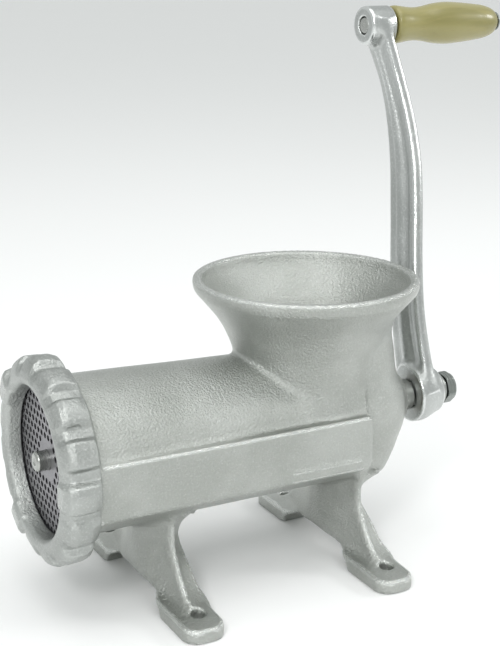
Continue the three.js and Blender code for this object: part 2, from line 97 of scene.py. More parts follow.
def straight(pairs):
    """The straight lines through (place, value) pairs."""
    places, values = np.array(pairs, float).T
    return lambda x: np.interp(x, places, values)


def rise(x, low, high):
    """0 before low, 1 after high, and 3t^2 - 2t^3 between them."""
    t = np.clip((x - low) / (high - low), 0, 1)
    return t * t * (3 - 2 * t)


def to_frame(points):
    """Millimetres in the maker's frame to metres in the part's frame."""
    return (points - SHIFT) / 1000


def leaned(points):
    """From the crank's own frame, arm straight up from the axis, to the maker's frame."""
    x, y, z = points.T
    c, s = np.cos(LEAN), np.sin(LEAN)
    return np.column_stack([x, y * c + z * s, z * c - y * s + AXIS_Z])


def on_axis(points):
    """From a frame whose X axis is the worm's axis to the maker's frame."""
    return points + [0, 0, AXIS_Z]


def on_grip(points):
    """From a frame whose X axis is the grip's axis to the maker's frame."""
    return leaned(points + [0, 0, CRANK_R])


def piece(name, points, faces, body, material, nodes, marks=None):
    """One mesh from (n, 3) points in the maker's frame and arrays of faces, riding on a body.
    marks is a value per point for the material, such as where an edge is rubbed bright."""
    mesh = bpy.data.meshes.new(name)
    groups = [np.asarray(f, np.int32) for f in faces if len(f)]
    sizes = np.concatenate([np.full(len(f), f.shape[1], np.int32) for f in groups])
    corners = np.concatenate([f.ravel() for f in groups])
    mesh.vertices.add(len(points))
    mesh.loops.add(len(corners))
    mesh.polygons.add(len(sizes))
    mesh.vertices.foreach_set("co", to_frame(points).astype(np.float32).ravel())
    mesh.loops.foreach_set("vertex_index", corners)
    mesh.polygons.foreach_set("loop_start", np.cumsum(sizes) - sizes)
    mesh.update(calc_edges=True)
    mesh.validate()
    mesh.shade_smooth()
    if marks is not None:
        mesh.attributes.new("edge", "FLOAT", "POINT").data.foreach_set("value", marks.astype(np.float32))
    mesh.materials.append(material)
    made = bpy.data.objects.new(name, mesh)
    bpy.context.scene.collection.objects.link(made)
    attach(made, body)
    if nodes:
        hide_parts(*nodes)
    return made


def grid_faces(rows, columns, closed_rows=False, closed_columns=True):
    """Quads of a rows x columns grid of points, joined end to end where it is closed."""
    r = np.arange(rows if closed_rows else rows - 1)[:, None]
    c = np.arange(columns if closed_columns else columns - 1)[None, :]
    nr, nc = (r + 1) % rows, (c + 1) % columns
    quads = [r * columns + c, r * columns + nc, nr * columns + nc, nr * columns + c]
    return np.stack([np.broadcast_to(q, (len(r), c.shape[1])) for q in quads], -1).reshape(-1, 4)


def turned(profile, segments=96, limit=None, closed=False):
    """Turned about X: point (i, j) is at x_i and radius r_i, at angle 2 pi j / segments.
    limit(angle) caps the radius, as a hexagon's flats do. A closed profile is a ring's section,
    and an open one starts and ends on the axis."""
    r, x = np.array(profile, float).T
    angle = 2 * np.pi * np.arange(segments) / segments
    radius = np.repeat(r[:, None], segments, 1)
    if limit is not None:
        radius = np.minimum(radius, limit(angle)[None, :])
    along = np.repeat(x[:, None], segments, 1)
    points = np.stack([along, radius * np.cos(angle), radius * np.sin(angle)], -1)
    if closed:
        return points.reshape(-1, 3), [grid_faces(len(r), segments, True)[:, ::-1]]
    ring = points[1:-1].reshape(-1, 3)
    poles = np.array([[x[0], 0, 0], [x[-1], 0, 0]])
    count = len(ring)
    j = np.arange(segments)
    nj = (j + 1) % segments
    last = count - segments
    caps = np.concatenate([
        np.column_stack([np.full(segments, count), nj, j]),
        np.column_stack([np.full(segments, count + 1), last + j, last + nj]),
    ])
    return np.concatenate([ring, poles]), [grid_faces(len(r) - 2, segments)[:, ::-1], caps[:, ::-1]]


def rounded(corners, radius=0.5, steps=4):
    """A profile with each inner corner rounded: a quadratic curve from one side to the other,
    whose ends stand back from the corner by radius, or by 0.45 of the shorter side."""
    corners = np.array(corners, float)
    made = [corners[:1]]
    t = np.linspace(0, 1, steps)[:, None]
    for before, corner, after in zip(corners[:-2], corners[1:-1], corners[2:]):
        sides = [before - corner, after - corner]
        lengths = [np.linalg.norm(side) for side in sides]
        back = min(radius, 0.45 * min(lengths))
        a, b = (corner + side / length * back for side, length in zip(sides, lengths))
        made.append((1 - t) ** 2 * a + 2 * t * (1 - t) * corner + t**2 * b)
    made.append(corners[-1:])
    return np.concatenate(made)


def ring_section(corners, radius=0.4, steps=4):
    """A closed profile, each of whose corners is rounded as in rounded()."""
    corners = np.array(corners, float)
    looped = np.concatenate([corners[-1:], corners, corners[:1]])
    return rounded(looped, radius, steps)[1:-1]


def combined(*parts):
    """Several (points, faces) meshes as one."""
    points, faces, count = [], [], 0
    for part_points, part_faces in parts:
        points.append(part_points)
        faces += [f + count for f in part_faces]
        count += len(part_points)
    return np.concatenate(points), faces


# ---------------------------------------------------------------- castings as blended fields
def soft_min(a, b, blend):
    """The lesser of two distances, rounded over blend: b + (a - b) h - blend h (1 - h), with
    h = 1/2 + (b - a) / (2 blend) held between 0 and 1. It joins two solids with a fillet."""
    h = np.clip(0.5 + 0.5 * (b - a) / blend, 0, 1)
    return b + (a - b) * h - blend * h * (1 - h)


def soft_max(a, b, blend):
    """The greater of two distances, rounded the same way: what two solids share."""
    return -soft_min(-a, -b, blend)


def cut(solid, tool, blend):
    """The solid without the tool's space, with its edge rounded over blend."""
    return soft_max(solid, -tool, blend)


def skin(field, low, high, step):
    """The surface where field(x, y, z) is 0. Each cell of a regular grid that the surface crosses
    has one point, at the mean of its crossings of the cell's edges, and is joined to the cells
    round each crossed edge. Two Newton steps along the field's slope then put the points on it."""
    axes = [np.arange(a, b + step, step) for a, b in zip(low, high)]
    value = field(*np.meshgrid(*axes, indexing="ij"))
    inside = value < 0
    shape = np.array(value.shape) - 1
    total = np.zeros((*shape, 3))
    crossings = np.zeros(shape)
    for axis in range(3):
        others = [a for a in range(3) if a != axis]
        near = [slice(None)] * 3
        far = [slice(None)] * 3
        near[axis], far[axis] = slice(0, -1), slice(1, None)
        a, b = value[tuple(near)], value[tuple(far)]
        crossed = inside[tuple(near)] != inside[tuple(far)]
        share = np.where(crossed, a / np.where(crossed, a - b, 1), 0)
        for u in (0, 1):
            for v in (0, 1):
                part = [slice(None)] * 3
                part[others[0]] = slice(u, u + shape[others[0]])
                part[others[1]] = slice(v, v + shape[others[1]])
                hit = crossed[tuple(part)]
                crossings += hit
                total[..., axis] += share[tuple(part)]
                total[..., others[0]] += hit * u
                total[..., others[1]] += hit * v
    active = crossings > 0
    number = np.full(shape, -1)
    number[active] = np.arange(active.sum())
    cell = np.argwhere(active)
    points = (cell + total[active] / crossings[active][:, None]) * step + np.array(low)
    quads = []
    for axis in range(3):
        u, v = (axis + 1) % 3, (axis + 2) % 3
        near = [slice(1, -1)] * 3
        far = [slice(1, -1)] * 3
        near[axis], far[axis] = slice(0, -1), slice(1, None)
        a, b = inside[tuple(near)], inside[tuple(far)]
        for leaves in (True, False):
            where = np.argwhere((a != b) & (a == leaves)) + [int(k != axis) for k in range(3)]
            corners = []
            for du, dv in ((-1, -1), (0, -1), (0, 0), (-1, 0)):
                at = where.copy()
                at[:, u] += du
                at[:, v] += dv
                corners.append(number[at[:, 0], at[:, 1], at[:, 2]])
            quads.append(np.column_stack(corners if leaves else corners[::-1]))
    reach = step * 0.05
    for _ in range(2):
        here, slope, _ = slopes_of(field, points, reach)
        move = slope * (here / np.maximum((slope**2).sum(1), 0.05))[:, None]
        length = np.linalg.norm(move, axis=1)
        points -= move * np.minimum(1, 0.5 * step / np.maximum(length, 1e-9))[:, None]
    _, _, bend = slopes_of(field, points, 1.1)
    return points, [np.concatenate(quads)], rise(bend, 0.05, 0.45)


def slopes_of(field, points, reach):
    """The field at points, its slope, and its sum of second differences, from steps of reach."""
    here = field(*points.T)
    slope = np.zeros_like(points)
    bend = np.zeros(len(points))
    for axis in range(3):
        step = np.zeros(3)
        step[axis] = reach
        ahead, behind = field(*(points + step).T), field(*(points - step).T)
        slope[:, axis] = (ahead - behind) / (2 * reach)
        bend += (ahead + behind - 2 * here) / reach**2
    return here, slope, bend


barrel_r = straight([
    (HEAD_BACK - 0.6, HEAD_R), (HEAD_BACK, HEAD_R), (-42, 39.2), (-12, 38.3), (16, 37.2), (50, 36.2),
    (100, 36.2),
])
hopper_r = through([
    (60, 35.6), (90, 35.5), (103, 35.6), (109, 36.4), (116, 38.0), (122, 40.4), (128, 43.4), (133.4, 47),
    (138.6, 51.2), (142.6, 54.6), (145, 56.6), (147, 57.3), (152, 57.3),
])
throat_r = through([
    (70, 31), (100, 31), (108, 31.4), (116, 33.0), (123, 35.7), (130, 39.2), (136, 43.4), (141.4, 47.8),
    (146, 51.2), (149.4, 52.6), (152, 53.6),
])
rear_wall_x = through([
    (30, 100), (38, 103), (48, 105), (53, 107.5), (58, 110), (65, 112), (80, 114), (87, 112.4),
    (99, 108.7), (110, 107), (123, 105.5), (130, 108), (139, 110),
])
drum_r = through([
    (60, 36.2), (95, 36.2), (107, 38), (115, 38.6), (122, 38.3), (128.4, 36.6), (134, 33.5), (137.8, 29.6),
    (140.7, 25.3), (144.6, 18.8), (147, 14),
])
dome_r = through([
    (104, 29), (106, 31.6), (109, 32.9), (114, 33), (119, 32.2), (124, 30.4), (129, 27.6), (133, 24.6),
    (137, 20.6), (140, 17), (142.4, 14.6), (144.2, 13.2), (145, 12.2), (146, 11.9),
])
bore_r = straight([
    (-38, 33.5), (90, 32), (98, 32), (104, 26), (119, 26),
])
flange_half = through([
    (0, 46), (5, 46), (12, 33.5), (18.5, 25.5), (24, 17), (30, 12), (37, 14.8), (45, 23), (52, 34), (60, 40),
])
crest_half = through([
    (0, 51), (8, 48), (13, 42.5), (22, 34.8), (31, 29.6), (45, 28.5), (60, 28),
])


def leg_field(x, y, z):
    """A leg pair about x = 0. Behind its middle, its half thickness at a height falls from the
    flange's to the crest's as (1 - t)^2.6, with t the share of the way out along Y from one to
    the other. In front it falls from nearer the middle, as (1 - t^1.4)^1.5, with no flange edge."""
    flange, crest = flange_half(z), crest_half(z)
    back = np.clip((y - flange) / (crest - flange), 0, 1)
    front = np.clip((y - 0.25 * flange) / (crest - 0.25 * flange), 0, 1)
    share = np.where(x > LEG_MIDDLE, (1 - back) ** 2.6, (1 - front**1.4) ** 1.5)
    half = LEG_CREST + (LEG_HALF - LEG_CREST) * share
    thick = (np.abs(x - LEG_MIDDLE) - half) * 0.72
    return soft_max(soft_max(thick, (y - crest) * 0.85, 2.4), z - 60, 2)


def pad_field(x, y, z):
    """A foot pad about x = 0: a rounded bar from above, up to PAD_TOP, sloping a little outwards."""
    dx = np.abs(x - LEG_MIDDLE) - (LEG_HALF - PAD_CORNER)
    dy = np.abs(y - PAD_Y) - (PAD_HALF_Y - PAD_CORNER)
    plan = np.hypot(np.maximum(dx, 0), np.maximum(dy, 0)) + np.minimum(np.maximum(dx, dy), 0) - PAD_CORNER
    top = z - PAD_TOP + 0.05 * np.maximum(y - 45, 0)
    return soft_max(plan, top, 2.2)


def body_field(x, y, z):
    """The body casting: barrel, side panels, hopper, rear wall and bearing dome joined with
    fillets to two leg pairs, and the bores, the hopper's inside, the arches and holes cut out."""
    near = np.abs(y)
    up = z - AXIS_Z
    r = np.hypot(near, up)
    barrel = soft_max(r - barrel_r(x), np.maximum(HEAD_FRONT - x, x - BARREL_END), 1.6)
    slope_y, slope_z = PANEL_UNDER
    under = soft_max(slope_y * (near - PANEL_Y) - slope_z * (z - PANEL_LOW), 49 - z, 1)
    panel = soft_max(soft_max(near - PANEL_Y, z - PANEL_HIGH, 1.6), under, 1.6)
    panel = soft_max(soft_max(panel, x - PANEL_END, 9), PANEL_START - x, 1)
    body = soft_min(barrel, panel, 3.0)
    ledge = soft_max(near - LEDGE_Y, np.abs(z - LEDGE_Z) - LEDGE_HALF_HIGH, 1.4)
    ledge = soft_max(ledge, np.abs(x - LEDGE_X) - LEDGE_HALF_LONG, 6)
    body = soft_min(body, ledge, 1.6)
    from_neck = np.hypot(x - HOPPER_X, near)
    hopper = soft_max((from_neck - hopper_r(z)) * 0.85, np.maximum(z - HOPPER_TOP, 70 - z), 1.8)
    body = soft_min(body, hopper, 2.8)
    wall = np.hypot(x - rear_wall_x(z), near) - REAR_WALL_R
    drum = soft_min((r - drum_r(x)) * 0.8, AXIS_Z - z, 8)
    wall = soft_max(soft_max(wall, drum, 3), z - REAR_WALL_TOP, 1)
    body = soft_min(body, wall, 3.5)
    dome = soft_max((r - dome_r(x)) * 0.75, np.maximum(x - BODY_END, DOME_START - x), 1.6)
    body = soft_min(body, dome, 1.2)
    for foot in (0.0, FOOT_X):
        leg = soft_min(leg_field(x - foot, near, z), pad_field(x - foot, near, z), 4.5)
        leg = cut(leg, (np.hypot(near / ARCH_Y, z / ARCH_Z) - 1) * ARCH_Z, 1.6)
        body = soft_min(body, leg, 5.5)
    body = soft_max(body, -z, 0.8)
    for foot in (0.0, FOOT_X):
        hole = np.maximum(np.hypot(x - foot, near - FOOT_Y) - FOOT_HOLE_R, z - 30)
        body = cut(body, hole, 1.0)
    bore = np.maximum(np.maximum(r - bore_r(x), x - BORE_END), BORE_START - x)
    seat = np.maximum(r - SEAT_R, np.maximum(x - SEAT_END, SEAT_START - x))
    socket = np.maximum(r - PLATE_R - 0.4, x - PLATE_BACK - 0.3)
    throat = np.maximum((from_neck - throat_r(z)) * 0.85, AXIS_Z - z)
    body = cut(body, np.minimum(np.minimum(bore, seat), socket), 0.8)
    body = cut(body, throat, 1.6)
    body = cut(body, np.maximum(r - BEARING_R, BORE_END - 1 - x), 0.8)
    pin_groove = np.maximum(np.hypot(y, up + PLATE_R) - PIN_GROOVE_R, x - PLATE_BACK)
    return cut(body, pin_groove, 0.4)


arm_middle = through([
    (-20, 160), (0, 160), (23, 160), (41, 161.2), (69, 165.3), (100, 171.4), (125, 175.6), (150, 177.2),
    (171, 176.2), (190, 173.4), (204, 171),
])
arm_half = through([
    (-20, 14), (0, 14), (23, 13.2), (41, 12.3), (80, 12.1), (120, 11.8), (137, 10.7), (157, 9.1), (172, 8.2),
    (190, 8.8), (204, 9.6),
])
hub_r = through([
    (151, 15.2), (153.3, 15.3), (157, 15.5), (160, 15.1), (163, 14), (165.4, 13.1), (169.8, 11.8),
])


def crank_field(x, y, z):
    """The crank arm, straight up from the hub: a thin broad flange with a round rib along each
    face, its middle bending along X with height, blended into the hub and the grip's boss."""
    middle, half = arm_middle(z), arm_half(z)
    out = x - middle
    flange = soft_max(np.abs(out) - 2.5, np.abs(y) - half, 2.2)
    rib = (np.hypot(np.abs(out) / 6.0, np.abs(y) / (0.36 * half + 0.6)) - 1) * 4.2
    edges = np.hypot(out, np.abs(y) - half + 2.6) - 3.3
    arm = soft_min(soft_min(flange, rib, 3.2), edges, 2.2)
    arm = soft_max(arm, np.maximum(-z, z - CRANK_R), 1)
    hub = soft_max(np.hypot(y, z) - hub_r(x), np.maximum(HUB_START - x, x - HUB_END), 1.6)
    spindle = np.hypot(y, z - CRANK_R)
    boss = soft_max(spindle - GRIP_BOSS_R, np.maximum(GRIP_BOSS_START - x, x - GRIP_BOSS_END), 1.8)
    whole = soft_min(soft_min(arm, hub, 5), boss, 4)
    whole = soft_max(whole, HUB_START - x, 0.8)
    square = np.maximum(np.abs(y), np.abs(z)) - HUB_SQUARE / 2
    whole = cut(whole, square, 0.4)
    whole = cut(whole, np.maximum(np.hypot(y, z) - 12, HUB_END - x), 0.5)
    return cut(whole, np.minimum(spindle - 3.5, np.maximum(spindle - 5, x - 165.3)), 0.5)


# ---------------------------------------------------------------- materials
def tree_of(owner):
    """An empty node tree of a material, a world or a group."""
    tree = owner.node_tree if hasattr(owner, "node_tree") else owner
    tree.nodes.clear()
    return tree


def add(tree, kind, settings=None, **inputs):
    """A node with its settings, whose inputs are numbers, colours or sockets to link."""
    node = tree.nodes.new(kind)
    for key, value in (settings or {}).items():
        setattr(node, key, value)
    for key, value in inputs.items():
        numbered = key[0] == "_" and key[1:].isdigit()
        socket = node.inputs[int(key[1:]) if numbered else key.replace("_", " ")]
        if isinstance(value, bpy.types.NodeSocket):
            tree.links.new(value, socket)
        else:
            socket.default_value = value
    return node


def math_node(tree, operation, a, b=0.0):
    return add(tree, "ShaderNodeMath", {"operation": operation}, _0=a, _1=b).outputs[0]


def between(tree, value, low, high, out_low=0.0, out_high=1.0):
    """The value's place between low and high, smoothed, as a number between out_low and out_high."""
    node = add(tree, "ShaderNodeMapRange", {"interpolation_type": "SMOOTHSTEP"})
    for key, number in zip(("From Min", "From Max", "To Min", "To Max"), (low, high, out_low, out_high)):
        node.inputs[key].default_value = number
    tree.links.new(value, node.inputs["Value"])
    return node.outputs["Result"]


def mix_colour(tree, share, a, b):
    node = add(tree, "ShaderNodeMix", {"data_type": "RGBA"})
    for index, value in ((0, share), (6, a), (7, b)):
        if isinstance(value, bpy.types.NodeSocket):
            tree.links.new(value, node.inputs[index])
        else:
            node.inputs[index].default_value = value if index == 0 else (*value, 1.0)
    return node.outputs[2]


def noise(tree, place, scale, detail=3.0, roughness=0.55, distortion=0.0):
    return add(
        tree, "ShaderNodeTexNoise", None, Vector=place, Scale=scale, Detail=detail, Roughness=roughness,
        Distortion=distortion,
    ).outputs["Fac"]


def group(name, inputs, outputs):
    """An empty shader node group with named sockets: (name, kind, default)."""
    tree = bpy.data.node_groups.new(name, "ShaderNodeTree")
    for socket_name, kind, default in inputs:
        socket = tree.interface.new_socket(socket_name, in_out="INPUT", socket_type=kind)
        if default is not None:
            socket.default_value = default
    for socket_name, kind in outputs:
        tree.interface.new_socket(socket_name, in_out="OUTPUT", socket_type=kind)
    return tree, tree.nodes.new("NodeGroupInput").outputs, tree.nodes.new("NodeGroupOutput").inputs


def sand_grain_group():
    """Sand-cast grain under a tin coat: fine grains, pinholes and slow waves, as one height from
    0 to 1, and a mask of the grains' tops."""
    tree, given, wanted = group(
        "sand grain",
        [("Place", "NodeSocketVector", None), ("Grains per metre", "NodeSocketFloat", 900.0),
         ("Coarseness", "NodeSocketFloat", 0.5)],
        [("Height", "NodeSocketFloat"), ("Tops", "NodeSocketFloat"), ("Waves", "NodeSocketFloat")],
    )
    place, density, coarse = given["Place"], given["Grains per metre"], given["Coarseness"]
    fine = noise(tree, place, density, 4.0, 0.65)
    cells = add(tree, "ShaderNodeTexVoronoi", {"feature": "SMOOTH_F1"}, Vector=place,
                Scale=math_node(tree, "MULTIPLY", density, 0.8), Smoothness=0.6)
    pits = between(tree, noise(tree, place, 330.0, 2.0), 0.62, 0.74)
    waves = noise(tree, place, 60.0, 3.0)
    grains = math_node(tree, "SUBTRACT", fine, math_node(tree, "MULTIPLY", cells.outputs["Distance"], 0.35))
    grains = math_node(tree, "MULTIPLY", grains, coarse)
    height = math_node(tree, "ADD", grains, math_node(tree, "MULTIPLY", waves, 0.5))
    height = math_node(tree, "SUBTRACT", height, math_node(tree, "MULTIPLY", pits, 0.16))
    tree.links.new(height, wanted["Height"])
    tree.links.new(between(tree, fine, 0.5, 0.68), wanted["Tops"])
    tree.links.new(waves, wanted["Waves"])
    return tree


def rubbed_edge_group():
    """Where handling has rubbed an edge bright: the edge value, broken up by the grain."""
    tree, given, wanted = group(
        "rubbed edge",
        [("Edge", "NodeSocketFloat", 0.0), ("Grain", "NodeSocketFloat", 0.5),
         ("Reach", "NodeSocketFloat", 0.3)],
        [("Mask", "NodeSocketFloat")],
    )
    broken = math_node(tree, "ADD", given["Edge"], math_node(tree, "MULTIPLY", given["Grain"], 0.25))
    share = math_node(tree, "DIVIDE", math_node(tree, "SUBTRACT", broken, given["Reach"]), 0.5)
    node = add(tree, "ShaderNodeClamp", None, Value=share)
    tree.links.new(node.outputs[0], wanted["Mask"])
    return tree


def tool_mark_group():
    """Fine rings that a lathe leaves round the X axis: noise of one number, the distance from the
    axis plus X. It gives a height, and a slower tone, from 0 to 1."""
    tree, given, wanted = group(
        "tool marks",
        [("Place", "NodeSocketVector", None), ("Marks per metre", "NodeSocketFloat", 1500.0)],
        [("Height", "NodeSocketFloat"), ("Tone", "NodeSocketFloat")],
    )
    split = add(tree, "ShaderNodeSeparateXYZ", None, Vector=given["Place"])
    squares = [math_node(tree, "POWER", split.outputs[k], 2.0) for k in (1, 2)]
    out = math_node(tree, "SQRT", math_node(tree, "ADD", *squares))
    along = math_node(tree, "ADD", out, split.outputs[0])
    rings = add(tree, "ShaderNodeTexNoise", {"noise_dimensions": "1D"}, W=along,
                Scale=given["Marks per metre"], Detail=2.0)
    tree.links.new(rings.outputs["Fac"], wanted["Height"])
    tree.links.new(noise(tree, given["Place"], 260.0), wanted["Tone"])
    return tree


SAND_GRAIN, RUBBED_EDGE, TOOL_MARKS = sand_grain_group(), rubbed_edge_group(), tool_mark_group()


def new_material(name):
    """A material with a Principled BSDF, and the place on the object in metres."""
    made = bpy.data.materials.new(name)
    made.use_nodes = True
    tree = tree_of(made)
    shader = tree.nodes.new("ShaderNodeBsdfPrincipled")
    tree.links.new(shader.outputs[0], tree.nodes.new("ShaderNodeOutputMaterial").inputs[0])
    place = tree.nodes.new("ShaderNodeTexCoord").outputs["Object"]
    return made, tree, shader, place


def use(tree, which, **inputs):
    return add(tree, "ShaderNodeGroup", {"node_tree": which}, **inputs).outputs


def tinned_iron(name, dull, bright, grain=0.5, density=900.0, rough=(0.30, 0.46), bump=0.6, reach=0.35):
    """Hot-tinned cast iron: a dull silver coat that takes the sand's grain, brighter in slow
    patches and on the grains' tops, and brighter and smoother along rubbed edges."""
    made, tree, shader, place = new_material(name)
    sand = use(tree, SAND_GRAIN, Place=place, Grains_per_metre=density, Coarseness=grain)
    edge = add(tree, "ShaderNodeAttribute", {"attribute_name": "edge"}).outputs["Fac"]
    mask = use(tree, RUBBED_EDGE, Edge=edge, Grain=sand["Tops"], Reach=reach)["Mask"]
    patch = math_node(tree, "MULTIPLY", between(tree, noise(tree, place, 26.0, 4.0), 0.38, 0.66), 0.3)
    coat = mix_colour(tree, patch, dull, tuple(0.5 * (a + b) for a, b in zip(dull, bright)))
    coat = mix_colour(tree, math_node(tree, "MULTIPLY", sand["Tops"], 0.22), coat, bright)
    shine = math_node(tree, "MULTIPLY", mask, 0.45)
    tree.links.new(mix_colour(tree, shine, coat, bright), shader.inputs["Base Color"])
    worn = math_node(tree, "MULTIPLY", mask, rough[1] - rough[0])
    patchy = between(tree, sand["Waves"], 0.3, 0.7, rough[1] - 0.06, rough[1] + 0.04)
    tree.links.new(math_node(tree, "SUBTRACT", patchy, worn), shader.inputs["Roughness"])
    shader.inputs["Metallic"].default_value = 1.0
    relief = add(tree, "ShaderNodeBump", None, Strength=bump, Distance=0.0005, Height=sand["Height"])
    tree.links.new(relief.outputs[0], shader.inputs["Normal"])
    return made


def turned_steel(name, dark, light, rough, marks=1500.0, bump=0.2):
    """Machined steel or bronze: rings from the lathe, and a tone that wanders a little."""
    made, tree, shader, place = new_material(name)
    centre = add(tree, "ShaderNodeMapping", None, Vector=place)
    centre.inputs["Location"].default_value = tuple(-to_frame(np.array([0, 0, AXIS_Z])))
    tool = use(tree, TOOL_MARKS, Place=centre.outputs[0], Marks_per_metre=marks)
    tree.links.new(mix_colour(tree, tool["Tone"], dark, light), shader.inputs["Base Color"])
    ringed = between(tree, tool["Height"], 0.3, 0.7, rough - 0.07, rough + 0.07)
    tree.links.new(ringed, shader.inputs["Roughness"])
    shader.inputs["Metallic"].default_value = 1.0
    relief = add(tree, "ShaderNodeBump", None, Strength=bump, Distance=0.0001, Height=tool["Height"])
    tree.links.new(relief.outputs[0], shader.inputs["Normal"])
    return made


def lacquered_wood(name):
    """Pale olive-yellow lacquered hardwood: long fine grain along the grip, slow bands of tone,
    darker pores and a clear coat."""
    made, tree, shader, place = new_material(name)
    stretched = add(tree, "ShaderNodeMapping", None, Vector=place)
    stretched.inputs["Scale"].default_value = (0.09, 1.0, 1.0)
    grain = noise(tree, stretched.outputs[0], 520.0, 5.0, 0.6, 0.6)
    bands = noise(tree, stretched.outputs[0], 75.0, 2.0, 0.5, 1.2)
    pores = between(tree, noise(tree, stretched.outputs[0], 1600.0, 2.0), 0.60, 0.72)
    tone = mix_colour(tree, between(tree, bands, 0.35, 0.65), (0.22, 0.20, 0.062), (0.29, 0.262, 0.094))
    streaks = math_node(tree, "MULTIPLY", between(tree, grain, 0.45, 0.7), 0.35)
    tone = mix_colour(tree, streaks, tone, (0.32, 0.27, 0.09))
    tone = mix_colour(tree, math_node(tree, "MULTIPLY", pores, 0.3), tone, (0.22, 0.17, 0.06))
    tree.links.new(tone, shader.inputs["Base Color"])
    tree.links.new(between(tree, grain, 0.3, 0.7, 0.36, 0.46), shader.inputs["Roughness"])
    shader.inputs["Coat Weight"].default_value = 0.5
    shader.inputs["Coat Roughness"].default_value = 0.15
    relief = add(tree, "ShaderNodeBump", None, Strength=0.12, Distance=0.0002, Height=grain)
    tree.links.new(relief.outputs[0], shader.inputs["Normal"])
    return made


DULL_TIN, BRIGHT_TIN = (0.42, 0.435, 0.41), (0.86, 0.88, 0.86)
BODY = tinned_iron("tinned body", DULL_TIN, BRIGHT_TIN, 1.3, 1000.0, (0.20, 0.34), 1.0, 0.6)
RING = tinned_iron(
    "tinned ring nut", (0.40, 0.415, 0.40), (0.90, 0.92, 0.90), 0.9, 900.0, (0.2, 0.34), 0.9, 0.5,
)
ARM = tinned_iron(
    "tinned crank arm", (0.42, 0.435, 0.425), (0.90, 0.92, 0.91), 0.5, 850.0, (0.20, 0.36), 0.6, 0.4,
)
WORM = tinned_iron(
    "tinned worm", (0.42, 0.43, 0.41), (0.78, 0.79, 0.77), 0.3, 700.0, (0.25, 0.42), 0.2, 0.4,
)
PLATE = turned_steel("ground plate steel", (0.24, 0.235, 0.25), (0.33, 0.325, 0.34), 0.38, 900.0)
BRIGHT = turned_steel("bright machined steel", (0.36, 0.37, 0.35), (0.52, 0.53, 0.51), 0.3)
DARK = turned_steel("dark plated steel", (0.20, 0.215, 0.205), (0.34, 0.36, 0.345), 0.3)
BUSH = turned_steel("dull bronze", (0.34, 0.30, 0.20), (0.48, 0.43, 0.30), 0.42)
WOOD = lacquered_wood("lacquered wood")

# ---------------------------------------------------------------- body casting
BODY_STEP = 1.4
points, faces, marks = skin(body_field, (-54.5, -69.5, -1.6), (149.5, 69.5, 153), BODY_STEP)
piece("body_casting_skin", points, faces, "frame", BODY, ["body_casting"], marks)

# ---------------------------------------------------------------- ring nut
RING_INSIDE = [(43.9, -44.2), (43.9, -52.8), (41.4, -52.8), (41.4, -53.9), (35.7, -53.9)]
RING_PLAIN = [
    (37, -60.2), (38.4, -61.8), (40.8, -62.6), (43.5, -61.6), (46.5, -59.1), (47.4, -57), (47.3, -50),
    (46.4, -45.4), (45.6, -44.2),
]
RING_SHORT = [
    (37, -60.2), (38.4, -61.8), (41.2, -62.6), (44.6, -61.9), (48.9, -59.6), (50.6, -56.6), (50.3, -49.4),
    (48.8, -45.6), (46.4, -44.2),
]
RING_TALL = [
    (36.9, -60.6), (37.4, -62.2), (40.4, -63.8), (46.0, -63.4), (50.2, -61.2), (51.3, -57.4), (50.9, -49.4),
    (49.2, -45.6), (46.4, -44.2),
]


def lug_share(angle, lugs, half, edge):
    """1 on the numbered lugs and 0 between them: the angle to the nearest, eased over its edge."""
    middles = LUG_START + 360 / RING_LUGS * np.array(lugs)
    off = np.abs((angle[:, None] - middles[None, :] + 180) % 360 - 180).min(1)
    return 1 - rise(off, half - edge, half + edge)


def ring_nut():
    """A section carried round the axis. It goes from the plain section to a lug's and back, by the
    angle's share in a short or a tall lug, and each lug's crown is a little rounded."""
    columns = 600
    angle = 360 * np.arange(columns) / columns
    tall = lug_share(angle, TALL_LUGS, 8.4, 1.9)
    short = lug_share(angle, [k for k in range(RING_LUGS) if k not in TALL_LUGS], 8.0, 1.9)
    sections = [
        np.array(ring_section(RING_INSIDE + outer, 0.9, 5)) for outer in (RING_PLAIN, RING_SHORT, RING_TALL)
    ]
    plain, low, high = (s[:, None, :] for s in sections)
    shape = plain + (low - plain) * short[None, :, None] + (high - plain) * tall[None, :, None]
    crown = np.cos(np.radians((angle - LUG_START) * RING_LUGS)) * 0.45
    uneven = 0.22 * np.sin(np.radians(angle * 7 + 40)) + 0.16 * np.sin(np.radians(angle * 23))
    outer = rise(shape[..., 0], 46.0, 49.0)
    radius = shape[..., 0] + outer * (crown + uneven)[None, :]
    a = np.radians(angle)[None, :]
    made = np.stack([shape[..., 1], radius * np.sin(a), radius * np.cos(a)], -1).reshape(-1, 3)
    lug = np.maximum(short, tall)
    shoulder = np.clip(np.abs(np.gradient(lug)) * 5, 0, 1)[None, :] * rise(radius, 49.2, 50.6)
    front = rise(-shape[..., 1], 62.2, 63.4) * tall[None, :]
    return made, [grid_faces(len(sections[0]), columns, True)], np.clip(shoulder + 0.6 * front, 0, 1).ravel()


points, faces, marks = ring_nut()
piece("ring_nut_casting", on_axis(points), faces, "ring_body", RING, ["ring_nut"], marks)


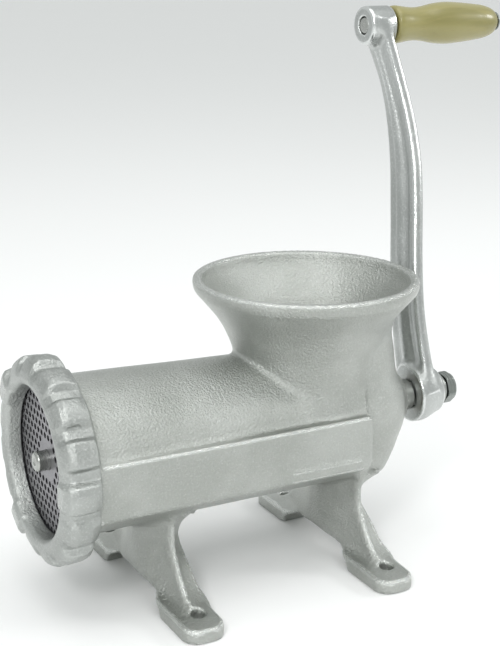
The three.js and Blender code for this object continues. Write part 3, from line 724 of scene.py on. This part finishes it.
# ---------------------------------------------------------------- outlet plate, stud
def perforated_plate():
    """A disc between two planes, holes on a hexagonal pitch between its hub and its rim. Each face
    is the Delaunay triangles of the circles' points that lie outside every hole."""
    row_step = PLATE_PITCH * np.sqrt(3) / 2
    count = int(PLATE_R / row_step) + 1
    row, column = np.meshgrid(np.arange(-count, count + 1), np.arange(-count - 2, count + 3), indexing="ij")
    centres = np.column_stack([((column + 0.5 * (row % 2)) * PLATE_PITCH).ravel(), (row * row_step).ravel()])
    away = np.linalg.norm(centres, axis=1)
    centres = centres[(away > PLATE_HUB_R) & (away < PLATE_RIM_R)]
    circles = [(np.zeros(2), PLATE_R, 120), (np.zeros(2), STUD_HOLE_R, 32)]
    circles += [(c, PLATE_HOLE_R, 12) for c in centres]
    outline, edges, start = [], [], 0
    for centre, radius, corners in circles:
        turn = 2 * np.pi * np.arange(corners) / corners
        outline.append(centre + radius * np.column_stack([np.cos(turn), np.sin(turn)]))
        k = np.arange(corners)
        edges.append(np.column_stack([start + k, start + (k + 1) % corners]))
        start += corners
    flat = np.concatenate(outline)
    result = delaunay_2d_cdt([Vector(p) for p in flat], np.concatenate(edges).tolist(), [], 0, 1e-6)
    triangles = np.array([f for f in result[2]], np.int32)
    flat = np.array([tuple(p) for p in result[0]])
    middle = flat[triangles].mean(1)
    keep = np.linalg.norm(middle, axis=1) > STUD_HOLE_R
    for centre in centres:
        keep &= np.linalg.norm(middle - centre, axis=1) > PLATE_HOLE_R * 0.95
    triangles = triangles[keep]
    first, second, third = (flat[triangles[:, k]] for k in range(3))
    area = np.cross(second - first, third - first)
    triangles[area < 0] = triangles[area < 0][:, ::-1]
    n = len(flat)
    front = np.column_stack([np.full(n, PLATE_FRONT), flat])
    back = np.column_stack([np.full(n, PLATE_BACK), flat])
    sides = np.concatenate([triangles[:, [0, 1]], triangles[:, [1, 2]], triangles[:, [2, 0]]])
    key = np.sort(sides, 1)
    _, place, times = np.unique(key, axis=0, return_index=True, return_counts=True)
    rim = sides[place[times == 1]]
    walls = np.column_stack([rim[:, 0], rim[:, 1], rim[:, 1] + n, rim[:, 0] + n])
    return np.concatenate([front, back]), [triangles[:, ::-1], triangles + n, walls]


points, faces = perforated_plate()
plate = piece(
    "outlet_plate_drilled", on_axis(points), faces, "plate_body", PLATE, ["outlet_plate"],
)
plate.data.shade_flat()

STUD = [(0, -59.6), (1.4, -59.6), (1.9, -60.2), (3.9, -60.2), (4.9, -59.2), (4.9, -31.5), (0, -31.5)]
points, faces = turned(rounded(STUD, 0.5), 64)
piece("front_stud_turned", on_axis(points), faces, "crank_train", BRIGHT, ["front_stud"])


# ---------------------------------------------------------------- worm
def worm_flight():
    """The flight and core as one radius over (angle, x): a tooth whose angle turns with x, one
    turn for each pitch, with a flat fan of triangles closing each end."""
    start, end, pitch = -32.0, 97.0, 34.0
    core, tip = 13.5, 31
    rows, segments = 260, 120
    x = np.linspace(start, end, rows)[:, None]
    j = np.arange(segments)
    angle = 2 * np.pi * j[None, :] / segments
    turn = 2 * np.pi * (x - start) / pitch
    off = np.abs((angle - turn + np.pi) % (2 * np.pi) - np.pi)
    tooth = 1 - rise(np.degrees(off), 19, 33)
    radius = core + (tip - core) * tooth
    made = np.stack([np.repeat(x, segments, 1), radius * np.cos(angle), radius * np.sin(angle)], -1)
    ends = np.array([[start, 0, 0], [end, 0, 0]])
    count = rows * segments
    following = (j + 1) % segments
    last = count - segments
    caps = np.concatenate([
        np.column_stack([np.full(segments, count), following, j]),
        np.column_stack([np.full(segments, count + 1), last + j, last + following]),
    ])
    sides = grid_faces(rows, segments)[:, ::-1]
    return np.concatenate([made.reshape(-1, 3), ends]), [sides, caps[:, ::-1]]


def square_limit(across):
    """A square's distance from its middle at an angle, half across over the greater of |cos|, |sin|."""
    return lambda angle: across / 2 / np.maximum(np.abs(np.cos(angle)), np.abs(np.sin(angle)))


COLLAR = [(0, 96), (25, 96), (25, 103), (14, 104), (14, 117.4), (8.4, 117.6), (8.4, 151.9), (0, 151.9)]
FRONT_HUB = [(0, -35.7), (12, -35.7), (12, -31), (0, -31)]
DRIVE = [(0, -44.8), (9.2, -44.8), (9.9, -44), (9.9, -35), (0, -35)]
REAR_SQUARE = [(0, 151), (8.2, 151), (8.2, 167), (7, 168), (0, 168)]
flight = worm_flight()
square_points, square_faces = turned(rounded(REAR_SQUARE, 0.4), 64, square_limit(CRANK_SQUARE))
c, s = np.cos(LEAN), np.sin(LEAN)
x, y, z = square_points.T
square_points = np.column_stack([x, y * c + z * s, z * c - y * s])
points, faces = combined(
    flight, turned(rounded(COLLAR, 0.6), 72), turned(rounded(FRONT_HUB, 0.6), 64),
    turned(rounded(DRIVE, 0.4), 64, square_limit(KNIFE_SQUARE)), (square_points, square_faces),
)
marks = 0.55 * rise(np.hypot(points[:, 1], points[:, 2]), 27, 31)
piece("worm_casting", on_axis(points), faces, "crank_train", WORM, ["worm"], marks)

# ---------------------------------------------------------------- crank
ARM_STEP = 0.8
points, faces, marks = skin(crank_field, (150, -18, -18), (182, 18, 217), ARM_STEP)
piece("crank_arm_casting", leaned(points), faces, "crank_train", ARM, ["crank_arm"], marks)


def hexagon_limit(across):
    """A hexagon's distance from its middle at an angle: half across over cos of the angle from
    the nearest flat's middle."""
    sixth = np.pi / 3
    return lambda angle: across / 2 / np.cos((angle + sixth / 2) % sixth - sixth / 2)


HEAD = [(0, 174.5), (8.0, 174.5), (8.7, 175.1), (8.7, 179.0), (7.2, 180.4), (0, 180.4)]
SHANK = [(0, 155), (3.9, 155), (3.9, 175), (0, 175)]
points, faces = combined(turned(rounded(HEAD, 0.5), 96, hexagon_limit(BOLT_ACROSS)), turned(SHANK, 32))
piece("crank_bolt_hex", leaned(points), faces, "crank_train", DARK, ["crank_bolt"])


def washer(radius, bore, start, end, soft=0.35):
    """A flat ring whose section is a rectangle with rounded corners."""
    section = [(bore, start), (bore, end), (radius, end), (radius, start)]
    return turned(ring_section(section, soft)[::-1], 72, closed=True)


def split_washer(radius, bore, start, end):
    """A spring washer: a rounded square section carried along an open turn that climbs by a
    quarter of its height, closed at both ends."""
    climb, turns = (end - start) * 0.25, 0.955
    section = np.array(ring_section([
        (bore, start), (bore, end - climb), (radius, end - climb), (radius, start),
    ], 0.3, 3))
    steps = 90
    share = np.linspace(0, 1, steps)
    a = np.pi / 2 + 0.14 + 2 * np.pi * turns * share
    r = section[None, :, 0]
    x = section[None, :, 1] + climb * share[:, None]
    made = np.stack([x, r * np.cos(a)[:, None], r * np.sin(a)[:, None]], -1).reshape(-1, 3)
    n = len(section)
    cap = np.arange(n)[None, :]
    return made, [grid_faces(steps, n), cap[:, ::-1], cap + (steps - 1) * n]


points, faces = washer(9.6, 4.4, 170.1, 171.7)
piece("crank_washer_ring", leaned(points), faces, "crank_train", BRIGHT, ["crank_washer"])
points, faces = split_washer(7.6, 4.4, 172, 174.2)
piece("spring_washer_coil", leaned(points), faces, "crank_train", DARK, ["spring_washer"])

# ---------------------------------------------------------------- grip
grip_r = through([
    (180.6, 9.9), (182.5, 10.4), (186, 10.15), (191, 9.45), (196, 9.15), (201, 9.6), (208, 10.9), (213, 11.5),
    (217, 11.7), (222, 11.55), (228, 11.1), (236, 10.3), (244.6, 9.0), (248, 7.9), (250.4, 6.4), (251.8, 4.8),
])
x = np.concatenate([np.linspace(GRIP_START, 248, 60), np.linspace(248.4, GRIP_END, 10)])
outside = np.column_stack([grip_r(x), x])
outside[0, 0] -= 0.7
inner_start, shoulder, inner_end = (GRIP_BORE_R, GRIP_START), (8.4, GRIP_START), (GRIP_BORE_R, GRIP_END)
profile = np.concatenate([[inner_start, shoulder], outside, [inner_end]])
points, faces = turned(profile, 96, closed=True)
piece("grip_wood", on_grip(points), faces, "grip_body", WOOD, ["grip"])

points, faces = washer(8, GRIP_BORE_R, 179.3, 180.3)
piece("grip_washer_ring", on_grip(points), faces, "crank_train", DARK, ["grip_washer"])
points, faces = washer(5.4, GRIP_BORE_R, 252.1, 253.1)
piece("grip_end_washer_ring", on_grip(points), faces, "crank_train", DARK, ["grip_end_washer"])
SPINDLE = [
    (0, 163.3), (1.4, 163.1), (4.0, 163.1), (4.5, 163.9), (4.5, 165.0), (3.2, 165.0), (3.2, 253.4),
    (4.2, 253.4), (4.0, 254.0), (2.8, 254.7), (0, 254.8),
]
points, faces = turned(rounded(SPINDLE, 0.3), 64)
piece("grip_spindle_riveted", on_grip(points), faces, "crank_train", BRIGHT, ["grip_spindle"])

points, faces = washer(BEARING_R - 0.3, 8.7, 120.5, 146.3)
piece("rear_bush_ring", on_axis(points), faces, "frame", BUSH, ["rear_bush"])

# ---------------------------------------------------------------- CAD nodes that stay
for node, material, slot in (
    ("knife", PLATE, "plate_steel"),
    ("plate_pin", BRIGHT, "bright_steel"),
    ("thrust_washer", BUSH, "bush"),
):
    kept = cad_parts[node]
    kept.data.materials.clear()
    kept.data.materials.append(material)


# ---------------------------------------------------------------- floor, light, camera
def studio():
    """A pale floor, a broad light above, a small key to the left, a smaller light to the right and
    an even pale surround."""
    mesh = bpy.data.meshes.new("floor")
    wide = 6.0
    corners = [(-wide, -wide, 0), (wide, -wide, 0), (wide, wide, 0), (-wide, wide, 0)]
    mesh.from_pydata(corners, [], [(0, 1, 2, 3)])
    floor = bpy.data.objects.new("floor", mesh)
    bpy.context.scene.collection.objects.link(floor)
    made, tree, shader, place = new_material("pale floor")
    tree.links.new(
        mix_colour(tree, noise(tree, place, 3.0), (0.96, 0.96, 0.96), (0.97, 0.97, 0.97)),
        shader.inputs["Base Color"],
    )
    shader.inputs["Roughness"].default_value = 0.7
    mesh.materials.append(made)
    for name, place, size, power in (
        ("top", (-0.1, -0.25, 1.5), 1.6, 9.0),
        ("key", (-0.9, -0.9, 1.0), 0.34, 6.0),
        ("side", (1.1, -0.35, 0.7), 0.3, 3.0),
    ):
        light = bpy.data.lights.new(name, "AREA")
        light.shape, light.size, light.energy = "DISK", size, power
        lamp = bpy.data.objects.new(name, light)
        lamp.location = place
        toward = Vector((0, 0, 0.1)) - Vector(place)
        lamp.rotation_mode = "QUATERNION"
        lamp.rotation_quaternion = toward.to_track_quat("-Z", "Y")
        bpy.context.scene.collection.objects.link(lamp)
    world = bpy.data.worlds.new("surround")
    bpy.context.scene.world = world
    world.use_nodes = True
    tree = tree_of(world)
    sky = add(tree, "ShaderNodeBackground", None, Color=(0.97, 1.0, 0.99, 1.0), Strength=0.72)
    tree.links.new(sky.outputs[0], tree.nodes.new("ShaderNodeOutputWorld").inputs[0])


def camera():
    """The viewpoint: 28.4 degrees to the left of the near side and 16.3 degrees up."""
    eye = Vector(to_frame(np.array([-253.5, -571.6, 320.3])))
    target = Vector(to_frame(np.array([55.2, 0.0, 130.3])))
    data = bpy.data.cameras.new("view")
    data.sensor_width, data.lens = 36.0, 75.46
    data.clip_start, data.clip_end = 0.01, 50.0
    made = bpy.data.objects.new("view", data)
    roll = Matrix.Rotation(np.radians(0.312), 4, "Z")
    turn = (target - eye).to_track_quat("-Z", "Y").to_matrix().to_4x4()
    made.matrix_world = Matrix.Translation(eye) @ turn @ roll
    bpy.context.scene.collection.objects.link(made)
    bpy.context.scene.camera = made


studio()
camera()
bpy.context.scene.view_settings.view_transform = "Standard"

bpy.context.view_layer.update()
